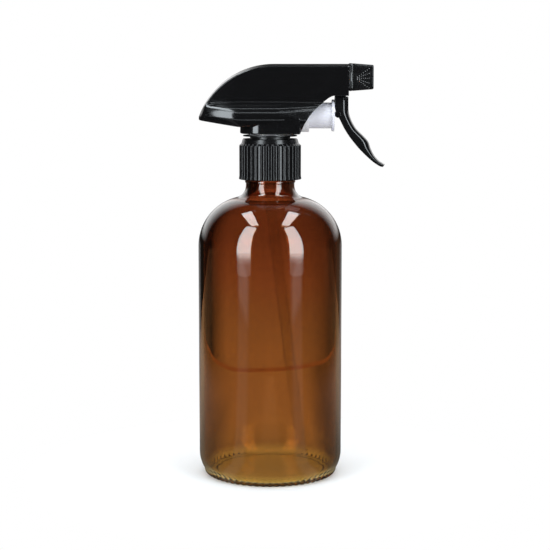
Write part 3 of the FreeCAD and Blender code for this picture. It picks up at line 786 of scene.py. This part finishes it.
def trigger():
    """Curved trigger: a blade with a crowned front and a hollow back, two arms with eyes, and its boss."""
    half = extent("trigger")[1][1]
    pivot_x, pivot_z, eye_radius = 36.0, 207.0, 3.2
    boss_x, boss_z, boss_radius = 34.95, 188.85, 1.6
    # matching places down the front edge and the back edge, from the top of the blade to its tip
    front = curve([(40.5, 198.0), (40.5, 194), (40.7, 190), (42.1, 185.8), (44.6, 181.6), (48.4, 177.8),
                   (50.8, 175), (52.1, 171.4), (54, 167.8), (56.5, 165.0), (58.4, 163.8), (59.5, 163.0)], 90)
    rear = curve([(33.5, 198.0), (33.4, 194), (34.4, 189.4), (36.4, 185.8), (38.6, 181.4), (41.3, 177.2),
                  (43.7, 174.1), (46.5, 170.8), (49.9, 167.4), (53.5, 164.3), (56.5, 162.4), (58.7, 161.7)],
                 90)
    rings = []
    for share, ahead, behind in zip(np.linspace(0, 1, len(front)), front, rear):
        depth = np.linalg.norm(behind - ahead)
        inward = (behind - ahead) / depth
        wide = half * math.sqrt(max(1 - max((share - 0.9) / 0.1005, 0) ** 2, 0.01))
        crown = min(3.2, 0.5 * depth)
        lip = min(0.3, 0.1 * depth)
        hollow = max(depth - 3.6, 0.3 * depth) * smoothstep((0.95 - share) / 0.12)
        inner = max(wide - 1.4, wide * 0.6)
        profile = [(crown * (1 - math.cos(turn)), wide * math.sin(turn))
                   for turn in np.linspace(0, math.pi / 2, 20)]
        profile += [(depth - lip, wide), (depth, wide - lip), (depth, inner + 0.25 * lip)]
        profile += [(depth - hollow * bite, inner - ease * (wide - inner))
                    for bite, ease in ((0.3, 0.0), (0.7, 0.05), (0.95, 0.2), (1, 0.7))]
        profile += [(depth - hollow, inner * 0.4), (depth - hollow, 0)]
        left = [(across, -y) for across, y in profile[::-1][1:-1]]
        ring = profile + left
        rings.append([(ahead[0] + inward[0] * d, y, ahead[1] + inward[1] * d) for d, y in ring])
    shells = [skin(rings)]
    eye = [(pivot_x + eye_radius * math.cos(turn), pivot_z + eye_radius * math.sin(turn))
           for turn in np.linspace(0, math.pi, 25)]
    arm = np.array([(33.7, 196.0), (39.0, 196.0), (39.2, 200.6)] + eye)
    for side in (-1, 1):
        inner, outer = sorted((side * 3.8, side * (half - 0.06)))
        shells.append(slab(arm, inner, outer))
    end = half + 0.02
    boss = rounded([(0, -end, 0), (boss_radius, -end, 0.3), (boss_radius, end, 0.3), (0, end, 0)])
    points, faces = lathe(boss, 32)
    shells.append((np.stack([boss_x + points[:, 0], points[:, 2], boss_z + points[:, 1]], -1), faces))
    material = moulded("black_trigger", BLACK, (0.12, 0.24), grain=0.02)
    add_piece("trigger_lever", "trigger", "trigger", join(*shells), material)


# ---- shroud ----

shroud_low, shroud_high = extent("shroud")
ROOF = 214.75
TAIL_RADIUS = 41.3
TAIL_AXIS = 1.9
TAIL_END = -36.9
TAIL_ROUND = 3.2
NOSE_END = shroud_high[0]
NOSE_HALF = 7.15
NOSE_FOOT = 198.5
SKIRT_RADIUS = 15.3
SKIRT_FOOT = shroud_low[2]
BELLY = 182.8
CREASE = 194.3
SHROUD_WALL = 1.4
ARCH_CENTRE = (44.6, 169.7)
ARCH_RADIUS = 30.6
ARCH_BACK = ARCH_CENTRE[0] - 28.95
ARCH_FOOT = 179.8
LIP_FRONT, LIP_BACK = 32.6, 27.6


def roof(reach):
    """Height of the shroud's ridge: flat to the front, one arc down to the tail."""
    back = np.minimum(reach - TAIL_AXIS, 0)
    return ROOF - TAIL_RADIUS + np.sqrt(TAIL_RADIUS ** 2 - back ** 2)


def belly(reach):
    """Height of the housing's underside behind the front arch."""
    return BELLY + 0.155 * np.maximum(-16.0 - reach, 0)


def lower_edge(reach):
    """Height of the shroud's lower edge: nose, front arch, then the belly."""
    if reach >= LIP_FRONT:
        return NOSE_FOOT
    if reach >= LIP_BACK:
        return NOSE_FOOT - 3.0 * ((LIP_FRONT - reach) / 5.0) ** 1.4
    if reach >= ARCH_BACK:
        return ARCH_CENTRE[1] + math.sqrt(ARCH_RADIUS ** 2 - (ARCH_CENTRE[0] - reach) ** 2)
    return ARCH_FOOT + (belly(reach) - ARCH_FOOT) * float(smoothstep((ARCH_BACK - reach) / 6))


def half_width(reach, height):
    """Half the shroud's width: a pipe-like bulge along the bottom under a nearly flat side."""
    # the bulge narrows ahead of the skirt, and more strongly behind it
    ahead = np.maximum(reach - 4, 0)
    behind = np.maximum(-14.5 - reach, 0)
    narrowing = np.where(behind < 6, 0.027 * behind ** 2, 0.324 * behind - 0.972 + 0.009 * (behind - 6) ** 2)
    bulge = SKIRT_RADIUS - np.minimum(0.012 * ahead ** 2, 0.2 * ahead - 0.83) - narrowing
    flat = NOSE_HALF + 1.45 * smoothstep((NOSE_END - reach) / 36) - 2.0 * smoothstep((-15 - reach) / 22)
    foot = belly(reach)
    crease = np.minimum(CREASE, roof(reach) - 1.2)
    widest = foot + 0.40 * (crease - foot)
    above = np.clip((height - widest) / (crease - widest), 0, 1)
    below = np.clip((widest - height) / (widest - foot), 0, None)
    pipe = flat + (bulge - flat) * np.sqrt(1 - above ** 2)
    return np.where(height > widest, pipe, bulge * (1 - 0.13 * below ** 2))


def eased_half_width(reach, height):
    """Half width with the crease above the bulge eased over a millimetre or so."""
    offsets = np.linspace(-1.0, 1.0, 9)
    eased = np.mean([half_width(reach, height + offset) for offset in offsets], axis=0)
    past = np.clip((TAIL_END + TAIL_ROUND - reach) / TAIL_ROUND, 0, 0.9999)
    return eased * math.sqrt(1 - past ** 2)


def shroud_section(reach, inset):
    """Half of a cross-section, from the lower edge up the side and over the crowned top to the middle."""
    low = lower_edge(reach)
    top = roof(reach) - inset
    tall = top - low
    drop = min(1.7, 0.45 * tall)
    heights = np.linspace(low, top - drop, 46)
    side = np.maximum(eased_half_width(reach, heights) - inset, 0.02)
    across = list(side)
    ups = list(heights)
    edge = side[-1]
    corner = min(0.9, 0.4 * drop, 0.4 * edge)
    crown = drop - corner
    for turn in np.linspace(0, math.pi / 2, 6)[1:]:
        across.append(edge - corner + corner * math.cos(turn))
        ups.append(top - drop + corner * math.sin(turn))
    shoulder = edge - corner
    for share in np.linspace(1, 0, 9)[1:]:
        across.append(shoulder * share)
        ups.append(top - crown * share ** 2)
    return np.array(across), np.array(ups)


def shroud_rows(stations, inset):
    rows = []
    for reach in stations:
        across, ups = shroud_section(reach, inset)
        right = np.stack([np.full(len(ups), reach), -across, ups], -1)
        left = right[::-1][1:] * (1, -1, 1)
        rows.append(np.concatenate([right, left]))
    return np.array(rows)


def housing():
    """The hollow cover: outside and inside skins joined along the lower edge, the nose and the tail."""
    arch_angles = np.linspace(math.acos(17.0 / ARCH_RADIUS), math.acos(28.9 / ARCH_RADIUS), 30)
    # from the nose to the tail, closer together where the lower edge or the tail curves
    stations = np.concatenate([
        np.linspace(NOSE_END, LIP_FRONT, 8),
        np.linspace(32.0, 27.9, 7),
        ARCH_CENTRE[0] - ARCH_RADIUS * np.cos(arch_angles),
        np.linspace(15.3, 8.0, 12),
        np.linspace(6.5, -30.0, 34),
        np.linspace(-30.8, TAIL_END + TAIL_ROUND, 6),
        TAIL_END + TAIL_ROUND * (1 - np.sin(np.linspace(0.08, math.pi / 2, 12))),
    ])
    outer = shroud_rows(stations, 0)
    inner_stations = np.where(stations < -20, -20 + (stations + 20) * 0.86, stations)
    inner = shroud_rows(inner_stations, SHROUD_WALL)
    rows, columns, _ = outer.shape
    total = rows * columns
    outside = grid_faces(rows, columns, False, False)
    faces = outside + [tuple(index + total for index in face[::-1]) for face in outside]
    for column in range(columns - 1):
        faces.append((column, column + 1, total + column + 1, total + column))
    for row in range(rows - 1):
        for column in (0, columns - 1):
            here, after = row * columns + column, (row + 1) * columns + column
            faces.append((here, after, total + after, total + here))
    last = (rows - 1) * columns
    for base in (last, total + last):
        for step in range((columns - 1) // 2):
            faces.append((base + step, base + step + 1, base + columns - 2 - step, base + columns - 1 - step))
    faces.append((last, last + columns - 1, total + last + columns - 1, total + last))
    return np.concatenate([outer.reshape(-1, 3), inner.reshape(-1, 3)]), faces


def skirt():
    """Round skirt under the housing; its front is notched for the pump's cylinder."""
    notch, top = 8.7, 188.0
    outline = refine(rounded([
        (SKIRT_RADIUS - SHROUD_WALL, SKIRT_FOOT, 0.3),
        (SKIRT_RADIUS + 0.25, SKIRT_FOOT, 0.7),
        (SKIRT_RADIUS, top, 0),
        (SKIRT_RADIUS - SHROUD_WALL, top, 0),
    ]), SKIRT_FOOT + 0.8, top - 0.1, 0.8)

    def shape(angle, radius, height):
        y = SKIRT_RADIUS * np.tan(np.clip(angle - 2 * math.pi * (angle > math.pi), -1.2, 1.2))
        in_notch = (np.cos(angle) > 0) & (np.abs(y) < notch)
        arch = CYLINDER_AXIS - np.sqrt(np.clip(notch ** 2 - y ** 2, 0, None))
        ceiling = np.where(in_notch, np.maximum(arch, SKIRT_FOOT + 0.5), top - 1)
        span = top - SKIRT_FOOT
        # squarer towards the front, where the sides run straight on to the arch
        power = np.where(np.cos(angle) > 0, 60.0, 2.5)
        square = (np.abs(np.cos(angle)) ** power + np.abs(np.sin(angle)) ** power) ** (-1 / power)
        square = np.minimum(square, 15.9 / SKIRT_RADIUS / np.maximum(np.cos(angle), 0.5))
        return radius * square, SKIRT_FOOT + (height - SKIRT_FOOT) * (ceiling - SKIRT_FOOT) / span

    return lathe(outline, 192, shape)


def shroud():
    material = moulded("black_shroud", BLACK, (0.08, 0.17), grain=0.015, flow=(0.4, 1, 1))
    add_piece("shroud_cover", "head", "shroud", join(housing(), skirt()), material, bevel=0.25)


# ---- pieces that keep their CAD shape ----


def finish_cad_nodes():
    white = moulded("white_housing", (0.80, 0.80, 0.83), (0.3, 0.45), grain=0.06, edge=0.05, soft=0.2)
    seal = moulded("soft_seal", (0.55, 0.55, 0.56), (0.45, 0.6), grain=0.08, edge=0.05, soft=0.2)
    ball = steel("steel_ball", 300)
    finishes = {
        "pump_body": white,
        "channel_plug": white,
        "swirl_core": white,
        "piston_cup": seal,
        "neck_gasket": foam(),
        "inlet_ball": ball,
        "outlet_ball": ball,
    }
    for node, material in finishes.items():
        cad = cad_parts[node]
        cad.data.materials.clear()
        cad.data.materials.append(material)


# ---- stage, light and camera ----


def floor():
    """Pale table top that runs out into white. Past a curved far edge, glass and gloss see the backdrop;
    short of it they see the table glow, with painted shade and a painted reflection.
    """
    mesh = bpy.data.meshes.new("floor")
    reach, level = 4.0, -0.0002
    corners = [(-reach, -reach, level), (reach, -reach, level), (reach, reach, level), (-reach, reach, level)]
    mesh.from_pydata(corners, [], [(0, 1, 2, 3)])
    material, nodes = new_material("floor")
    position = nodes.parts(nodes.place())
    across, away = position["X"], position["Y"]
    beside = nodes.math("ABSOLUTE", across)
    pale = nodes.feed(
        nodes.add("ShaderNodeBsdfPrincipled"),
        Base_Color=nodes.mix(nodes.noise(6, 4), grey(0.88), grey(0.92)),
        Roughness=nodes.between(nodes.noise(40, 3), 0.5, 0.65),
        Normal=nodes.bump(nodes.noise(300, 2), 0.05, 0.0005),
    ).outputs[0]
    square = nodes.math("ADD", nodes.math("POWER", across, 2), nodes.math("POWER", away, 2))
    radius = nodes.math("SQRT", square)
    seen = nodes.mix_shaders(nodes.between(radius, 0, 1, 0.045, 0.13), pale, nodes.glow())

    # the far edge, as (across, away) in metres
    edge = ((-0.60, 0.50), (-0.30, 0.45), (-0.17, 0.38), (-0.10, 0.335), (-0.05, 0.283), (-0.01, 0.270),
            (0.04, 0.288), (0.09, 0.318), (0.16, 0.37), (0.30, 0.45), (0.60, 0.50))
    levels = [((x + 0.6) / 1.2, y) for x, y in edge]
    edge_away = nodes.ramp(levels, nodes.between(across, 0, 1, -0.6, 0.6), "CARDINAL")
    past = nodes.math("SUBTRACT", away, edge_away)
    near = nodes.math("GREATER_THAN", away, -0.32)
    on_table = nodes.times(nodes.math("LESS_THAN", past, 0), near)
    on_line = nodes.times(nodes.math("LESS_THAN", past, 0.015), near)
    beyond = nodes.add("ShaderNodeBsdfTransparent").outputs[0]

    # in gloss the table glows as a painted reflection: grey behind the object, and a faint band under each
    # panel in front of it
    aside = nodes.between(beside, 1, 0, 0.24, 0.34)
    ahead = nodes.math("MAXIMUM", nodes.times(away, -1), 0.02)
    aslant = nodes.math("DIVIDE", beside, ahead)
    fade = ((0.0, 0.25), (0.42, 0.22), (0.49, 0.75), (0.68, 0.9), (0.75, 0.0))
    inner_edge, outer_edge = nodes.between(aslant, 0, 1, 0.6, 0.75), nodes.between(aslant, 1, 0, 1.12, 1.3)
    band = nodes.times(inner_edge, outer_edge, nodes.ramp(fade, ahead))
    behind = nodes.times(aside, nodes.between(away, 0.01, 0.22, -0.1, 0.1))
    painted_reflection = nodes.glow(Strength=nodes.math("ADD", behind, band))
    # through glass the table glows, with painted shade: darker to the sides, beside the foot and under it,
    # and a brown painted shade line along the far edge
    left, right = nodes.between(across, 0.5, 1, -0.09, -0.03), nodes.between(across, 1, 0.42, 0.028, 0.05)
    painted_contact_shade = nodes.times(nodes.between(beside, 0, 0.6, 0.028, 0.040), nodes.between(away, 1, 0, 0.06, 0.2))
    under = nodes.between(radius, 0.74, 1, 0.055, 0.115)
    shade = nodes.times(left, right, nodes.math("SUBTRACT", 1, painted_contact_shade), under, 0.92)
    line = nodes.glow(Color=(0.74, 0.54, 0.46, 1))
    edge_on = nodes.mix_shaders(on_line, beyond, line)
    in_glass = nodes.mix_shaders(on_table, edge_on, nodes.glow(Strength=shade))
    in_gloss = nodes.mix_shaders(nodes.math("LESS_THAN", past, 0), beyond, painted_reflection)
    output = nodes.add("ShaderNodeOutputMaterial")
    from_above = nodes.by_ray(seen, (("Glossy", in_gloss), ("Transmission", in_glass)))
    nodes.feed(output, Surface=nodes.mix_shaders(nodes.geometry("Backfacing"), from_above, beyond))
    mesh.materials.append(material)
    plane = bpy.data.objects.new("floor", mesh)
    bpy.context.scene.collection.objects.link(plane)


# a little cool, against the warm second reflection from inside the glass
LIGHT_COLOUR = (0.92, 1.0, 1.05)


def softbox(name, place, size, target, power, fade=None):
    """Rectangular light; fade lists (share of its height, brightness) from its foot up."""
    data = bpy.data.lights.new(name, "AREA")
    data.shape = "RECTANGLE"
    data.size, data.size_y = size
    data.energy = power
    data.color = LIGHT_COLOUR
    if fade:
        data.use_nodes = True
        nodes = Nodes(data.node_tree)
        upward = nodes.parts(nodes.geometry("Parametric"))["Y"]
        nodes.feed(nodes.add("ShaderNodeOutputLight"), Surface=nodes.glow(Strength=nodes.ramp(fade, upward)))
    light = bpy.data.objects.new(name, data)
    light.location = place
    light.rotation_euler = (Vector(target) - Vector(place)).to_track_quat("-Z", "Y").to_euler()
    bpy.context.scene.collection.objects.link(light)
    return light


# name, place behind the axis (negative is in front), height and thickness in metres, power in watts
STREAKS = (
    ("streak_high", 0.03, 0.75, 0.03, 0.26),
    ("streak_mid", -0.4, 0.645, 0.03, 0.3),
    ("streak_low", -0.25, 0.087, 0.012, 0.08),
)


def studio():
    """Two tall panels with a shorter one above each for gloss, and soft lights for everything matt."""
    distance = 0.85
    panel_height = 0.56
    fade = [(0.0, 0.0), (0.012, 0.04), (0.035, 0.08), (0.0435, 0.11),
            (0.0465, 0.22), (0.0495, 0.5), (0.052, 0.85), (0.07, 1.0)]
    for name, azimuth in (("left", -41.5), ("right", 42)):
        turn = math.radians(azimuth)
        across, back = distance * math.sin(turn), -distance * math.cos(turn)
        panel = softbox(name + "_panel", (across, back, panel_height), (0.34, 1.20), (0, 0, panel_height),
                        12.5, fade)
        strip_x, strip_y = math.copysign(0.46, across), -0.18
        upper = softbox(name + "_strip", (strip_x, strip_y, 1.2), (0.25, 0.86), (strip_x, strip_y, 0), 6.5)
        wash = softbox(name + "_wash", (across * 1.1, back * 1.1, 0.6), (0.5, 0.9), (0, 0, 0.15), 5.5)
        panel.visible_diffuse = False
        upper.visible_diffuse = False
        wash.visible_glossy = False
        wash.visible_transmission = False
    # thin lights that only the shroud mirrors, one above another, as long level streaks
    receivers = bpy.data.collections.new("streak_receivers")
    receivers.objects.link(bpy.data.objects["shroud_cover"])
    shroud_middle, streak_length = (0, 0, 0.188), 0.5
    for name, away, up, thickness, power in STREAKS:
        streak = softbox(name, (0, away, up), (streak_length, thickness), shroud_middle, power)
        streak.visible_diffuse = False
        streak.light_linking.receiver_collection = receivers
    overhead = softbox("overhead", (0, 0.1, 1.4), (1.2, 1.2), (0, 0, 0.1), 11)
    overhead.visible_glossy = False
    overhead.visible_transmission = False


def backdrop():
    """White to the eye; in gloss dark, with pale rims; through glass a soft-edged card behind the object."""
    world = bpy.data.worlds.new("backdrop")
    bpy.context.scene.world = world
    world.use_nodes = True
    nodes = Nodes(world.node_tree)
    coordinates = nodes.add("ShaderNodeTexCoord")
    fixed = nodes.parts(coordinates.outputs["Generated"])
    turning = nodes.parts(coordinates.outputs["Camera"])
    # across and away are level and turn with the camera, so that every side is lit alike
    up, across = fixed["Z"], turning["X"]
    left_over = nodes.math("SUBTRACT", 1, nodes.math("ADD", nodes.times(across, across), nodes.times(up, up)))
    away = nodes.math("SQRT", nodes.math("MAXIMUM", left_over, 0))
    away = nodes.times(away, nodes.math("SIGN", turning["Z"]))

    # gloss: pale rims on the shoulder, and a narrow grey one down the upright wall
    off_centre = nodes.between(nodes.math("ABSOLUTE", across), 0, 1, 0.07, 0.15)
    pale = nodes.times(nodes.between(up, 0, 1.6, 0, 0.12), nodes.between(away, 0, 1, 0.55, 0.82), off_centre)
    rim = nodes.times(nodes.between(away, 0, 0.42, 0.82, 0.97), nodes.between(up, 1, 0, -0.09, -0.05))
    pale = nodes.math("ADD", pale, rim)
    # glass: a card that is brightest behind the object
    sideways = nodes.math("DIVIDE", across, nodes.math("MAXIMUM", away, 0.1))
    left, right = nodes.between(sideways, 0.02, 1, -0.17, -0.08), nodes.between(sideways, 1, 0.2, 0.03, 0.17)
    forward, upward = nodes.between(away, 0.15, 1, -0.1, 0.2), nodes.between(up, 0.88, 0.5, -0.185, -0.10)
    card = nodes.times(left, right, forward, upward)
    shaders = []
    for strength in (0.7, nodes.math("ADD", pale, 0.012), card, 1.0):
        shader = nodes.feed(nodes.add("ShaderNodeBackground"), Color=grey(1.0), Strength=strength)
        shaders.append(shader.outputs[0])
    output = nodes.add("ShaderNodeOutputWorld")
    kinds = zip(("Glossy", "Transmission", "Camera"), shaders[1:])
    nodes.feed(output, Surface=nodes.by_ray(shaders[0], kinds))


def camera():
    """The photo's camera: level with the pump and tilted a little down."""
    data = bpy.data.cameras.new("camera")
    data.lens = 100.5
    data.sensor_width = 36
    data.clip_start = 0.01
    eye = bpy.data.objects.new("camera", data)
    eye.location = (0.00254, -0.7985, 0.2121)
    eye.rotation_euler = (math.radians(90 - 7.64), 0, 0)
    bpy.context.scene.collection.objects.link(eye)
    bpy.context.scene.camera = eye
    bpy.context.scene.view_settings.view_transform = "Standard"


bottle_glass()
screw_collar()
tube_retainer()
dip_tube()
piston()
return_spring()
nozzle_cap()
trigger()
shroud()
finish_cad_nodes()
floor()
studio()
backdrop()
camera()
